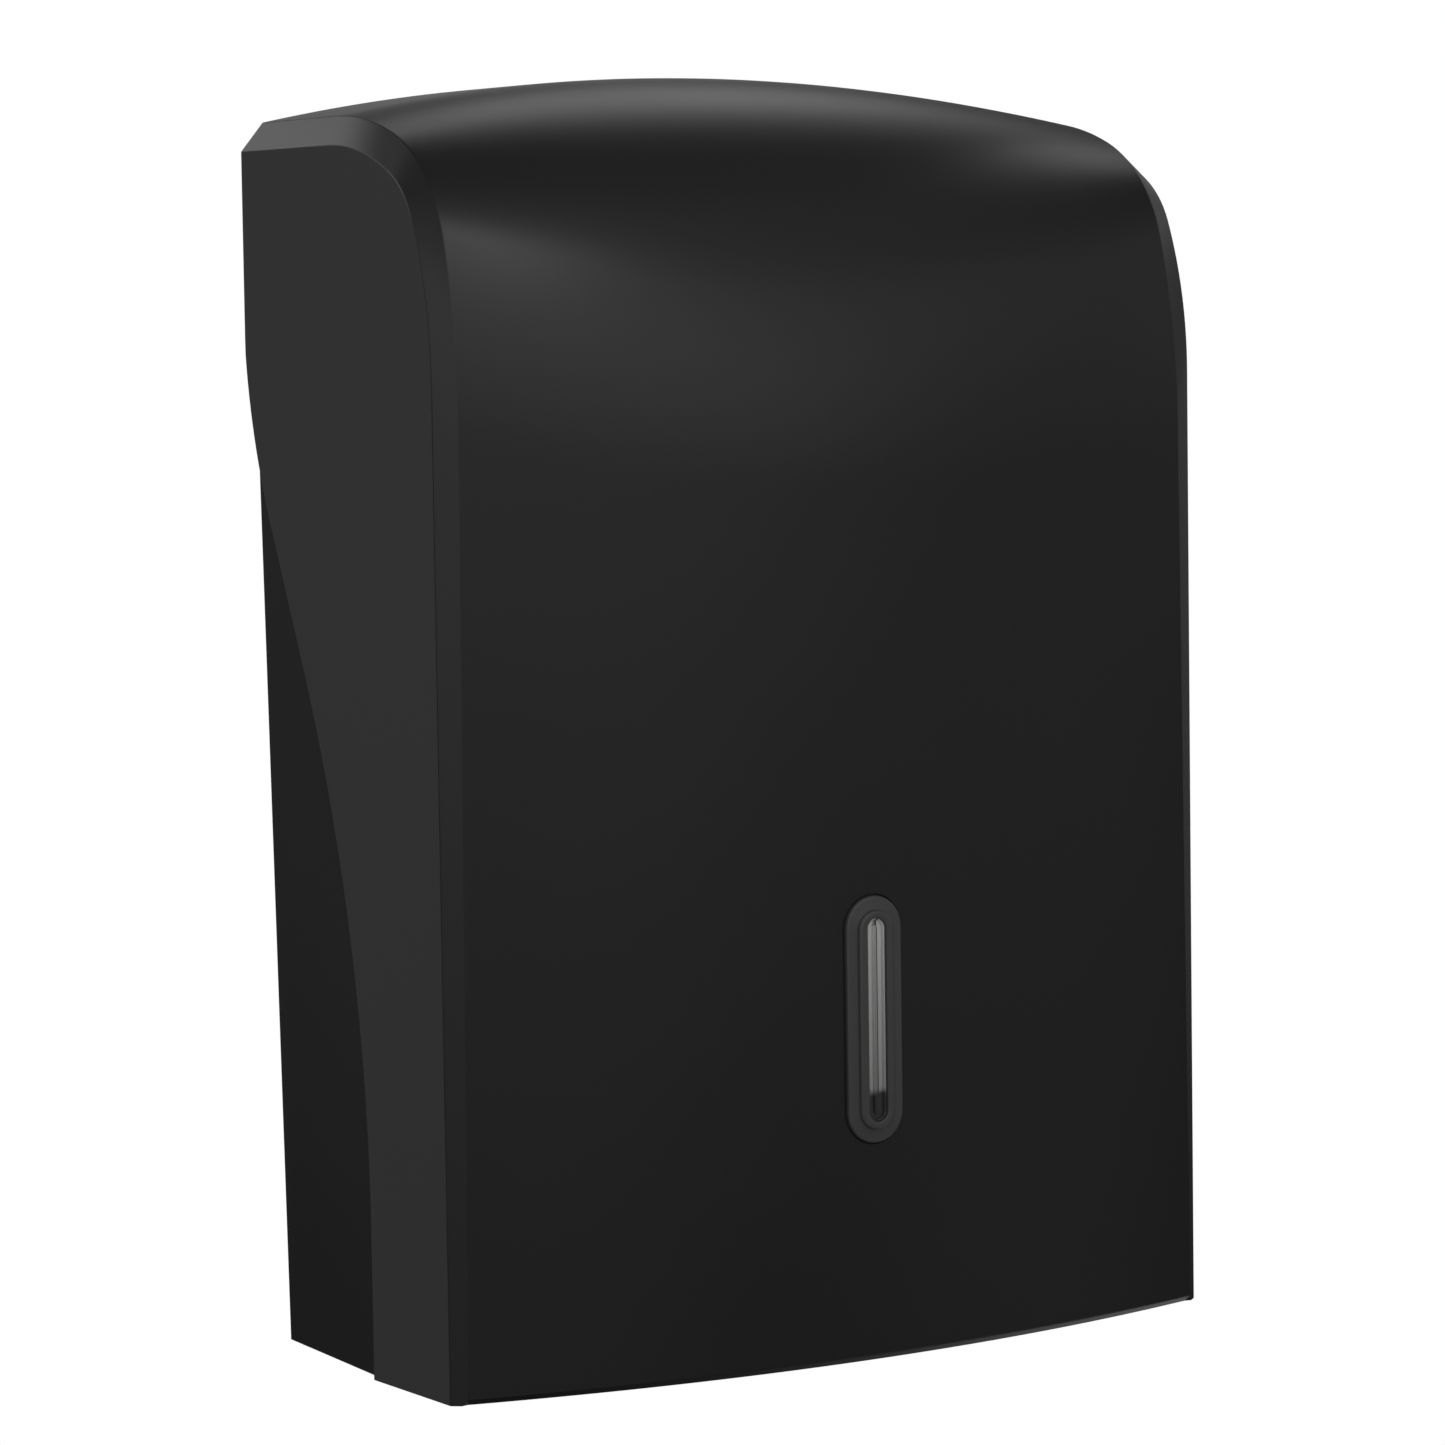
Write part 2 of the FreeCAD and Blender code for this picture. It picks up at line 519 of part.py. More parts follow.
NODES = {
    "back_housing": back_housing,
    "hinge_bush_left": lambda: mirrored(hinge_bush()),
    "hinge_bush_right": hinge_bush,
    "towel_tray": towel_tray,
    "tray_screws": tray_screws,
    "front_guard": front_guard,
    "guard_screws": guard_screws,
    "guide_left": lambda: mirrored(guide()),
    "guide_right": guide,
    "guide_screws": guide_screws,
    "keeper_plate": keeper_plate,
    "keeper_screws": keeper_screws,
    "towel_stack": towel_stack,
    "front_cover": front_cover,
    "window_bezel": window_bezel,
    "window_lens": window_lens,
    "window_retainer": window_retainer,
    "window_screws": window_screws,
    "hinge_pin_left": lambda: mirrored(hinge_pin()),
    "hinge_pin_right": hinge_pin,
    "lock_barrel": lock_barrel,
    "lock_nut": lock_nut,
    "lock_plug": lock_plug,
    "lock_cam": lock_cam,
    "cam_washer": cam_washer,
    "cam_screw": cam_screw,
}

os.makedirs("parts", exist_ok=True)
for name, make in NODES.items():
    make().exportStep(os.path.join("parts", name + ".step"))
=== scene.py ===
import json
import math
import random

import bpy
from mathutils import Matrix, Vector


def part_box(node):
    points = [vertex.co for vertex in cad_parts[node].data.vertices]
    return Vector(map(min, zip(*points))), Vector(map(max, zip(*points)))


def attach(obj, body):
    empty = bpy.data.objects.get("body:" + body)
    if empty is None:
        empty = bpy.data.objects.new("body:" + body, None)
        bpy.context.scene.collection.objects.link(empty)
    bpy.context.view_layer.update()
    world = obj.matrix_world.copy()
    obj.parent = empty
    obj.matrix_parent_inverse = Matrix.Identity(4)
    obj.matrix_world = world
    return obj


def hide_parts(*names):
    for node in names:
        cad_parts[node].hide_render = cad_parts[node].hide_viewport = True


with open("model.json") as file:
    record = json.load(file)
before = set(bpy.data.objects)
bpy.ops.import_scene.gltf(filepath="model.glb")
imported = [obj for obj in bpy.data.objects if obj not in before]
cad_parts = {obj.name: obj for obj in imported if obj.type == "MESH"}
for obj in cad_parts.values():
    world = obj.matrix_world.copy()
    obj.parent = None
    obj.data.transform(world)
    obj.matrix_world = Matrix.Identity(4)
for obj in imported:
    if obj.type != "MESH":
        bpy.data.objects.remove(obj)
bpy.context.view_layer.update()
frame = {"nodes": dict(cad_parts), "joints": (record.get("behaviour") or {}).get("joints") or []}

MM = 0.001
nodes = frame["nodes"]


# ---------------------------------------------------------------- back housing
# One black injection moulding, screwed flat to the wall. It carries the tray, the guides,
# the hinge arms and the keeper; its smooth flared sides show behind the cover's swept edge.

def moulded_surface():
    """Shader group for moulded and coated surfaces: grain, rubbed edges, settled dust."""
    group = bpy.data.node_groups.get("moulded_surface")
    if group:
        return group
    group = bpy.data.node_groups.new("moulded_surface", "ShaderNodeTree")
    for name, kind, value in (
        ("Colour", "NodeSocketColor", (0.02, 0.02, 0.02, 1)),
        ("Rubbed Colour", "NodeSocketColor", (0.08, 0.08, 0.08, 1)),
        ("Rubbing", "NodeSocketFloat", 0.3),
        ("Dust", "NodeSocketFloat", 0.05),
        ("Roughness", "NodeSocketFloat", 0.4),
        ("Roughness Spread", "NodeSocketFloat", 0.05),
        ("Grain Scale", "NodeSocketFloat", 1800.0),
        ("Grain Depth", "NodeSocketFloat", 0.00002),
        ("Edge Radius", "NodeSocketFloat", 0.0004),
    ):
        socket = group.interface.new_socket(name=name, in_out="INPUT", socket_type=kind)
        socket.default_value = value
    for name, kind in (("Colour", "NodeSocketColor"), ("Roughness", "NodeSocketFloat"),
                       ("Normal", "NodeSocketVector")):
        group.interface.new_socket(name=name, in_out="OUTPUT", socket_type=kind)
    add = group.nodes.new
    link = group.links.new

    def maths(operation, *values):
        """Result of a math node fed by sockets or plain numbers."""
        node = add("ShaderNodeMath")
        node.operation = operation
        for number, value in enumerate(values):
            if isinstance(value, bpy.types.NodeSocket):
                link(value, node.inputs[number])
            else:
                node.inputs[number].default_value = value
        return node.outputs["Value"]

    given = add("NodeGroupInput")
    out = add("NodeGroupOutput")
    place = add("ShaderNodeTexCoord")
    grain = add("ShaderNodeTexNoise")
    grain.inputs["Detail"].default_value = 2.0
    link(place.outputs["Object"], grain.inputs["Vector"])
    link(given.outputs["Grain Scale"], grain.inputs["Scale"])
    cloud = add("ShaderNodeTexNoise")
    cloud.inputs["Scale"].default_value = 14.0
    cloud.inputs["Detail"].default_value = 5.0
    link(place.outputs["Object"], cloud.inputs["Vector"])
    # edges: where the rounded normal leaves the face's own
    round_edge = add("ShaderNodeBevel")
    round_edge.samples = 4
    link(given.outputs["Edge Radius"], round_edge.inputs["Radius"])
    face = add("ShaderNodeNewGeometry")
    agree = add("ShaderNodeVectorMath")
    agree.operation = "DOT_PRODUCT"
    link(round_edge.outputs["Normal"], agree.inputs[0])
    link(face.outputs["Normal"], agree.inputs[1])
    edge = add("ShaderNodeMapRange")
    edge.inputs["From Min"].default_value = 0.995
    edge.inputs["From Max"].default_value = 0.85
    link(agree.outputs["Value"], edge.inputs["Value"])
    rub = maths("MULTIPLY", edge.outputs["Result"], cloud.outputs["Fac"])
    rub_amount = maths("MULTIPLY", rub, given.outputs["Rubbing"])
    # dust settles on what faces up
    up = add("ShaderNodeSeparateXYZ")
    link(face.outputs["Normal"], up.inputs["Vector"])
    level = add("ShaderNodeMapRange")
    level.inputs["From Min"].default_value = 0.55
    link(up.outputs["Z"], level.inputs["Value"])
    settle = maths("MULTIPLY", level.outputs["Result"], cloud.outputs["Fac"])
    dust_amount = maths("MULTIPLY", settle, given.outputs["Dust"])
    # colour: pigment mottle, rubbed edges, dust
    mottle = add("ShaderNodeMapRange")
    mottle.inputs["To Min"].default_value = 0.9
    mottle.inputs["To Max"].default_value = 1.1
    link(cloud.outputs["Fac"], mottle.inputs["Value"])
    tint = add("ShaderNodeVectorMath")
    tint.operation = "SCALE"
    link(given.outputs["Colour"], tint.inputs[0])
    link(mottle.outputs["Result"], tint.inputs["Scale"])
    rubbed = add("ShaderNodeMix")
    rubbed.data_type = "RGBA"
    link(rub_amount, rubbed.inputs["Factor"])
    link(tint.outputs["Vector"], rubbed.inputs["A"])
    link(given.outputs["Rubbed Colour"], rubbed.inputs["B"])
    dusty = add("ShaderNodeMix")
    dusty.data_type = "RGBA"
    dusty.inputs["B"].default_value = (0.32, 0.30, 0.27, 1)
    link(dust_amount, dusty.inputs["Factor"])
    link(rubbed.outputs["Result"], dusty.inputs["A"])
    link(dusty.outputs["Result"], out.inputs["Colour"])
    # roughness: base, clouds, dust
    centred = maths("SUBTRACT", cloud.outputs["Fac"], 0.5)
    spread = maths("MULTIPLY_ADD", centred, given.outputs["Roughness Spread"], given.outputs["Roughness"])
    link(maths("MULTIPLY_ADD", dust_amount, 0.6, spread), out.inputs["Roughness"])
    # normal: rounded edges under the grain
    bump = add("ShaderNodeBump")
    link(grain.outputs["Fac"], bump.inputs["Height"])
    link(given.outputs["Grain Depth"], bump.inputs["Distance"])
    link(round_edge.outputs["Normal"], bump.inputs["Normal"])
    link(bump.outputs["Normal"], out.inputs["Normal"])
    return group


def moulded_material(name, colour, rubbed, specular=0.5, metallic=0.0, **values):
    """Material whose surface comes from the moulded_surface group."""
    material = bpy.data.materials.new(name)
    material.use_nodes = True
    tree = material.node_tree
    shader = tree.nodes["Principled BSDF"]
    shader.inputs["Specular IOR Level"].default_value = specular
    shader.inputs["Metallic"].default_value = metallic
    surface = tree.nodes.new("ShaderNodeGroup")
    surface.node_tree = moulded_surface()
    surface.inputs["Colour"].default_value = (*colour, 1)
    surface.inputs["Rubbed Colour"].default_value = (*rubbed, 1)
    for key, value in values.items():
        surface.inputs[key.replace("_", " ").title()].default_value = value
    tree.links.new(surface.outputs["Colour"], shader.inputs["Base Color"])
    tree.links.new(surface.outputs["Roughness"], shader.inputs["Roughness"])
    tree.links.new(surface.outputs["Normal"], shader.inputs["Normal"])
    return material


def dress(piece, material):
    """Gives a piece one material."""
    piece.data.materials.clear()
    piece.data.materials.append(material)


bpy.ops.object.select_all(action="DESELECT")
housing_black = moulded_material(
    "housing_black", (0.006, 0.006, 0.0065), (0.04, 0.04, 0.04), specular=0.18, roughness=0.3,
    roughness_spread=0.08, grain_scale=900.0, grain_depth=0.000004, rubbing=0.25, dust=0.04)
dress(nodes["back_housing"], housing_black)


# ---------------------------------------------------------------- hinge bushes
# Two flanged bushes in natural nylon, pressed into the housing's arms.

nylon = moulded_material(
    "nylon", (0.66, 0.63, 0.55), (0.8, 0.78, 0.7), roughness=0.45, grain_scale=1500.0,
    grain_depth=0.00001, rubbing=0.2, edge_radius=0.0002)
dress(nodes["hinge_bush_left"], nylon)
dress(nodes["hinge_bush_right"], nylon)


# ---------------------------------------------------------------- towel tray
# Moulded dark grey tray screwed up to the housing's ledges. The towels lie on its floor and
# are drawn down through the lipped slot.

tray_grey = moulded_material(
    "tray_grey", (0.035, 0.035, 0.037), (0.1, 0.1, 0.1), roughness=0.5, grain_scale=1600.0,
    grain_depth=0.00002, rubbing=0.5, dust=0.1)
dress(nodes["towel_tray"], tray_grey)

zinc = moulded_material(
    "zinc", (0.55, 0.55, 0.53), (0.75, 0.75, 0.73), metallic=1.0, roughness=0.32,
    roughness_spread=0.2, grain_scale=700.0, grain_depth=0.000006, rubbing=0.5, edge_radius=0.0002)
for name in ("tray_screws", "guard_screws", "guide_screws", "keeper_screws", "keeper_plate"):
    dress(nodes[name], zinc)


# ---------------------------------------------------------------- guard and guides
# Folded sheet steel in black powder coat: the guard stands in front of the towels, the guides
# stand on either side and keep the folds in line.

powder_coat = moulded_material(
    "powder_coat", (0.02, 0.02, 0.021), (0.25, 0.25, 0.25), roughness=0.42, roughness_spread=0.06,
    grain_scale=1100.0, grain_depth=0.00003, rubbing=0.5, dust=0.06)
for name in ("front_guard", "guide_left", "guide_right"):
    dress(nodes[name], powder_coat)


# ---------------------------------------------------------------- towels
# A load of interfolded paper towels: each leaf is folded once and holds the next one's edge,
# so folds and loose edges alternate up the front.

stack_low, stack_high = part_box("towel_stack")
leaf_pitch = 1.9 * MM
leaf_count = int((stack_high.z - stack_low.z - 1.0 * MM) / leaf_pitch)
fold_radius = 0.45 * leaf_pitch
stack_half = stack_high.x - 0.6 * MM
leaves = []
shuffle = random.Random(7)
for number in range(leaf_count):
    level = stack_low.z + 0.8 * MM + (number + 0.5) * leaf_pitch
    folded_at_front = number % 2 == 0
    sign = -1 if folded_at_front else 1
    fold_y = (stack_low.y if folded_at_front else stack_high.y) - sign * (1.2 + shuffle.uniform(0, 1.4)) * MM
    loose_y = (stack_high.y if folded_at_front else stack_low.y) + sign * (2.0 + shuffle.uniform(0, 1.8)) * MM
    # one half of the leaf, extruded round its fold and back again
    bpy.ops.mesh.primitive_plane_add(size=1, location=(0, (fold_y + loose_y) / 2, level - fold_radius))
    leaf = bpy.context.active_object
    leaf.name = f"leaf_{number}"
    leaf.scale = (2 * (stack_half - shuffle.uniform(0, 1.2) * MM), abs(fold_y - loose_y) - 2 * fold_radius, 1)
    bpy.ops.object.transform_apply(location=True, rotation=True, scale=True)
    bpy.ops.object.mode_set(mode="EDIT")
    bpy.ops.mesh.select_mode(type="EDGE")
    bpy.ops.mesh.select_all(action="DESELECT")
    bpy.ops.object.mode_set(mode="OBJECT")
    fold_line = max(sign * v.co.y for v in leaf.data.vertices)
    for edge in leaf.data.edges:
        ends = [sign * leaf.data.vertices[i].co.y for i in edge.vertices]
        edge.select = all(abs(end - fold_line) < 0.1 * MM for end in ends)
    bpy.ops.object.mode_set(mode="EDIT")
    bpy.ops.mesh.spin(steps=5, angle=sign * math.pi, center=(0, sign * fold_line, level), axis=(1, 0, 0))
    bpy.ops.mesh.extrude_region_move(
        TRANSFORM_OT_translate={"value": (0, -sign * (abs(fold_y - loose_y) - 2 * fold_radius), 0)})
    bpy.ops.object.mode_set(mode="OBJECT")
    leaves.append(leaf)


def join(pieces):
    """Joins pieces into the first of them."""
    bpy.ops.object.select_all(action="DESELECT")
    for piece in pieces:
        piece.select_set(True)
    bpy.context.view_layer.objects.active = pieces[0]
    bpy.ops.object.join()


join(leaves)
towels = bpy.context.active_object
towels.name = "towels"
bpy.ops.object.transform_apply(location=True, rotation=True, scale=True)
ply = towels.modifiers.new("ply", "SOLIDIFY")
ply.thickness = 0.45 * MM
ply.offset = 0
bpy.ops.object.modifier_apply(modifier=ply.name)
bpy.ops.object.shade_smooth_by_angle(angle=math.radians(40))

paper = bpy.data.materials.new("towel_paper")
paper.use_nodes = True
tree = paper.node_tree
shader = tree.nodes["Principled BSDF"]
shader.inputs["Specular IOR Level"].default_value = 0.2
shader.inputs["Sheen Weight"].default_value = 0.3
place = tree.nodes.new("ShaderNodeTexCoord")
fibre = tree.nodes.new("ShaderNodeTexNoise")
fibre.inputs["Scale"].default_value = 900.0
fibre.inputs["Detail"].default_value = 6.0
tree.links.new(place.outputs["Object"], fibre.inputs["Vector"])
emboss = tree.nodes.new("ShaderNodeTexVoronoi")
emboss.inputs["Scale"].default_value = 320.0
tree.links.new(place.outputs["Object"], emboss.inputs["Vector"])
tone = tree.nodes.new("ShaderNodeMix")
tone.data_type = "RGBA"
tone.inputs["A"].default_value = (0.70, 0.69, 0.66, 1)
tone.inputs["B"].default_value = (0.80, 0.79, 0.77, 1)
tree.links.new(fibre.outputs["Fac"], tone.inputs["Factor"])
tree.links.new(tone.outputs["Result"], shader.inputs["Base Color"])
matt = tree.nodes.new("ShaderNodeMapRange")
matt.inputs["To Min"].default_value = 0.8
matt.inputs["To Max"].default_value = 0.98
tree.links.new(fibre.outputs["Fac"], matt.inputs["Value"])
tree.links.new(matt.outputs["Result"], shader.inputs["Roughness"])
relief = tree.nodes.new("ShaderNodeMath")
relief.operation = "MULTIPLY_ADD"
relief.inputs[1].default_value = 0.5
tree.links.new(fibre.outputs["Fac"], relief.inputs[0])
tree.links.new(emboss.outputs["Distance"], relief.inputs[2])
bump = tree.nodes.new("ShaderNodeBump")
bump.inputs["Distance"].default_value = 0.00012
tree.links.new(relief.outputs["Value"], bump.inputs["Height"])
tree.links.new(bump.outputs["Normal"], shader.inputs["Normal"])
dress(towels, paper)
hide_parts("towel_stack")
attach(towels, "base")


# ---------------------------------------------------------------- front cover
# The big black moulding with a fine spark-eroded grain. Its skin bulges forwards and upwards,
# a flat facet runs round to each side panel, and the sides' rear edge sweeps in an S.

cover_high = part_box("front_cover")[1]
side_half = cover_high.x
skin = 2.6 * MM
rear = cover_high.y
arris_half = 135.7 * MM
arris_lean = 0.00896
# front, top, arc radii and the angles where the arcs meet
side_outline = (118.3 * MM, 375.75 * MM, (79.2 * MM, 29.7 * MM, 124.5 * MM), (28.5, 67.4))
arris_outline = (121.8 * MM, 384.85 * MM, (95.4 * MM, 47.4 * MM, 218.2 * MM), (22.6, 74.7))
middle_outline = (139.1 * MM, 398.5 * MM, (100.0 * MM, 95.0 * MM, 218.0 * MM), (22.6, 74.7))
top_steps, arc_steps, front_steps = 10, (12, 20, 14), 44


def outline_points(front, top, radii, breaks):
    """(y, z) points of a side outline, from the rear edge over the top to the lower edge."""
    turns = [0.0, math.radians(breaks[0]), math.radians(breaks[1]), math.pi / 2]
    reach = sum(r * (math.sin(b) - math.sin(a)) for r, a, b in zip(radii, turns, turns[1:]))
    y, z = reach - front, top
    points = [(rear + (y - rear) * i / top_steps, top) for i in range(top_steps + 1)]
    for r, a, b, steps in zip(radii, turns, turns[1:], arc_steps):
        for i in range(1, steps + 1):
            t = a + (b - a) * i / steps
            points.append((y - r * (math.sin(t) - math.sin(a)), z - r * (math.cos(a) - math.cos(t))))
        y, z = points[-1]
    points += [(-front, z * (1 - i / front_steps)) for i in range(1, front_steps + 1)]
    return points


side_points = outline_points(*side_outline)
arris_points = outline_points(*arris_outline)
middle_points = outline_points(*middle_outline)
rows = len(arris_points)

# the skin: a grid whose rows follow the outline and whose columns bulge as a parabola
bpy.ops.object.select_all(action="DESELECT")
columns = 64
bpy.ops.mesh.primitive_grid_add(x_subdivisions=columns, y_subdivisions=rows - 1, size=2, location=(0, 0, 0))
cover = bpy.context.active_object
cover.name = "cover"
for vertex in cover.data.vertices:
    across = vertex.co.x
    row = round((vertex.co.y + 1) / 2 * (rows - 1))
    bulge = 1 - across * across
    (ay, az), (my, mz) = arris_points[row], middle_points[row]
    y, z = ay + (my - ay) * bulge, az + (mz - az) * bulge
    vertex.co = (across * (arris_half - arris_lean * z), y, z)

# the facets: each side of the grid extruded on to the side panel's outline
for sign in (-1, 1):
    bpy.ops.object.mode_set(mode="EDIT")
    bpy.ops.mesh.select_mode(type="EDGE")
    bpy.ops.mesh.select_all(action="DESELECT")
    bpy.ops.object.mode_set(mode="OBJECT")
    arris = {}
    for vertex in cover.data.vertices:
        y, z = vertex.co.y, vertex.co.z
        if abs(sign * vertex.co.x - (arris_half - arris_lean * z)) < 0.01 * MM:
            arris[vertex.index] = min(range(rows), key=lambda k: math.dist((y, z), arris_points[k]))
    for edge in cover.data.edges:
        edge.select = edge.vertices[0] in arris and edge.vertices[1] in arris
    bpy.ops.object.mode_set(mode="EDIT")
    bpy.ops.mesh.extrude_region_move(TRANSFORM_OT_translate={"value": (sign * 1.0, 0, 0)})
    bpy.ops.object.mode_set(mode="OBJECT")
    for vertex in cover.data.vertices:
        if sign * vertex.co.x > 0.5:
            row = min(range(rows), key=lambda k: math.dist((vertex.co.y, vertex.co.z), arris_points[k]))
            vertex.co = (sign * side_half, *side_points[row])

# the swept rear edge: straight, arc, slope, arc, straight
sweep_top, sweep_lean = 330 * MM, math.radians(24)
upper_r, lower_r, slope = 167 * MM, 416 * MM, 51.4 * MM
sweep_points = [(rear, sweep_top)]
for i in range(1, 17):
    t = sweep_lean * i / 16
    sweep_points.append((min(rear, -upper_r * (1 - math.cos(t))), sweep_top - upper_r * math.sin(t)))
y, z = sweep_points[-1]
y, z = y - slope * math.sin(sweep_lean), z - slope * math.cos(sweep_lean)
sweep_points.append((y, z))
for i in range(1, 25):
    t = sweep_lean * (1 - i / 24)
    sweep_points.append((y - lower_r * (math.cos(t) - math.cos(sweep_lean)),
                         z - lower_r * (math.sin(sweep_lean) - math.sin(t))))
sweep_points.append((sweep_points[-1][0], 0.0))

# the side panels: a filled ring laid on the outline and the sweep, then joined to the facets
panel_points = side_points + sweep_points[::-1]
panels = []
for sign in (-1, 1):
    bpy.ops.object.select_all(action="DESELECT")
    bpy.ops.mesh.primitive_circle_add(
        vertices=len(panel_points), fill_type="NGON", radius=1, location=(0, 0, 0))
    panel = bpy.context.active_object
    for vertex, (y, z) in zip(panel.data.vertices, panel_points):
        vertex.co = (sign * side_half, y, z)
    panels.append(panel)
join((cover, *panels))
bpy.ops.object.mode_set(mode="EDIT")
bpy.ops.mesh.select_all(action="SELECT")
bpy.ops.mesh.remove_doubles(threshold=0.01 * MM)
bpy.ops.mesh.normals_make_consistent(inside=False)
bpy.ops.object.mode_set(mode="OBJECT")
front_face = min(cover.data.polygons, key=lambda f: f.center.y)
if front_face.normal.y > 0:
    bpy.ops.object.mode_set(mode="EDIT")
    bpy.ops.mesh.select_all(action="SELECT")
    bpy.ops.mesh.flip_normals()
    bpy.ops.object.mode_set(mode="OBJECT")

# the wall's thickness
wall = cover.modifiers.new("wall", "SOLIDIFY")
wall.thickness = skin
wall.offset = -1
wall.use_even_offset = True
wall.use_quality_normals = True
bpy.ops.object.modifier_apply(modifier=wall.name)


def lower_edge_y(x):
    """Where the skin's outer face meets the lower edge."""
    across = x / arris_half
    return -(arris_outline[0] + (middle_outline[0] - arris_outline[0]) * (1 - across * across))


# the bevel under the front, stopped at the arrises
for edge in cover.data.edges:
    ends = [cover.data.vertices[i].co for i in edge.vertices]
    edge.select = all(abs(p.z) < 0.01 * MM and abs(p.x) < arris_half + 0.01 * MM
                      and abs(p.y - lower_edge_y(p.x)) < 0.2 * MM for p in ends)
for face in cover.data.polygons:
    face.select = False
for vertex in cover.data.vertices:
    vertex.select = False
for edge in cover.data.edges:
    if edge.select:
        for i in edge.vertices:
            cover.data.vertices[i].select = True
bpy.ops.object.mode_set(mode="EDIT")
bpy.ops.mesh.select_mode(type="EDGE")
bpy.ops.mesh.bevel(offset=2.0 * MM, segments=1, affect="EDGES")
bpy.ops.object.mode_set(mode="OBJECT")

# small moulded radii: on every sharp edge and all the way down both arrises
bpy.ops.object.mode_set(mode="EDIT")
bpy.ops.mesh.select_all(action="DESELECT")
bpy.ops.mesh.edges_select_sharp(sharpness=math.radians(20))
bpy.ops.object.mode_set(mode="OBJECT")
arris_line = {vertex.index for vertex in cover.data.vertices
              if abs(abs(vertex.co.x) - (arris_half - arris_lean * vertex.co.z)) < 0.02 * MM
              and min(math.dist((vertex.co.y, vertex.co.z), point) for point in arris_points) < 0.05 * MM}
rounding = cover.data.attributes.new("bevel_weight_edge", "FLOAT", "EDGE")
for edge in cover.data.edges:
    on_arris = all(i in arris_line for i in edge.vertices)
    rounding.data[edge.index].value = 1.0 if edge.select or on_arris else 0.0
radius = cover.modifiers.new("radius", "BEVEL")
radius.width = 0.4 * MM
radius.segments = 3
radius.limit_method = "WEIGHT"
radius.use_clamp_overlap = True
bpy.ops.object.modifier_apply(modifier=radius.name)


def oval_form(name, rings, z_mid):
    """Upright oval form: a filled circle parted at its middle, extruded from ring to ring.

    A ring is (width, height, y). The first and the last stay closed."""
    ends = 32
    bpy.ops.object.select_all(action="DESELECT")
    bpy.ops.mesh.primitive_circle_add(vertices=2 * ends, fill_type="NGON", radius=1, location=(0, 0, 0))
    form = bpy.context.active_object
    form.name = name
    width, height, y = rings[0]
    for number, vertex in enumerate(form.data.vertices):
        turn = (number + 0.5) * math.pi / ends
        rise = width / 2 * math.sin(turn) + math.copysign((height - width) / 2, math.sin(turn))
        vertex.co = (width / 2 * math.cos(turn), y, z_mid + rise)
    for next_width, next_height, next_y in rings[1:]:
        bpy.ops.object.mode_set(mode="EDIT")
        bpy.ops.mesh.extrude_region_move(TRANSFORM_OT_translate={"value": (0, 0, 0)})
        bpy.ops.object.mode_set(mode="OBJECT")
        for vertex in form.data.vertices:
            if vertex.select:
                rise = vertex.co.z - z_mid
                turn = math.atan2(rise - math.copysign((height - width) / 2, rise), vertex.co.x)
                rise = next_width / 2 * math.sin(turn) + math.copysign((next_height - next_width) / 2, rise)
                vertex.co = (next_width / 2 * math.cos(turn), next_y, z_mid + rise)
        width, height = next_width, next_height
    bpy.ops.object.mode_set(mode="EDIT")
    bpy.ops.mesh.select_all(action="SELECT")
    bpy.ops.mesh.normals_make_consistent(inside=False)
    bpy.ops.object.mode_set(mode="OBJECT")
    return form


def pick(piece):
    """Selects one piece alone and makes it the active one."""
    bpy.ops.object.select_all(action="DESELECT")
    piece.select_set(True)
    bpy.context.view_layer.objects.active = piece


def cut(piece, cutter):
    """Cuts a piece with another, which is then gone."""
    pick(piece)
    boolean = piece.modifiers.new("cut", "BOOLEAN")
    boolean.operation = "DIFFERENCE"
    boolean.solver = "EXACT"
    boolean.object = cutter
    bpy.ops.object.modifier_apply(modifier=boolean.name)
    bpy.data.objects.remove(cutter)


# the pocket for the bezel, the opening through the skin, and the lock's stepped hole
bezel_low, bezel_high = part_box("window_bezel")
window_z = (bezel_low.z + bezel_high.z) / 2
front_y = -middle_outline[0]
for width, height, y in ((21.4, 77.6, 1.0), (16.0, 71.2, 12.0)):
    rings = ((width * MM, height * MM, front_y + y * MM), (width * MM, height * MM, front_y - 12 * MM))
    cut(cover, oval_form("opening", rings, window_z))
barrel_low, barrel_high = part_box("lock_barrel")
lock_y = (barrel_low.y + barrel_high.y) / 2
crown = middle_outline[1]
for radius, depth in ((8.1, 20.0), (10.2, 1.2)):
    bpy.ops.object.select_all(action="DESELECT")
    bpy.ops.mesh.primitive_cylinder_add(
        vertices=96, radius=radius * MM, depth=40 * MM, location=(0, lock_y, crown + (20 - depth) * MM))
    cut(cover, bpy.context.active_object)

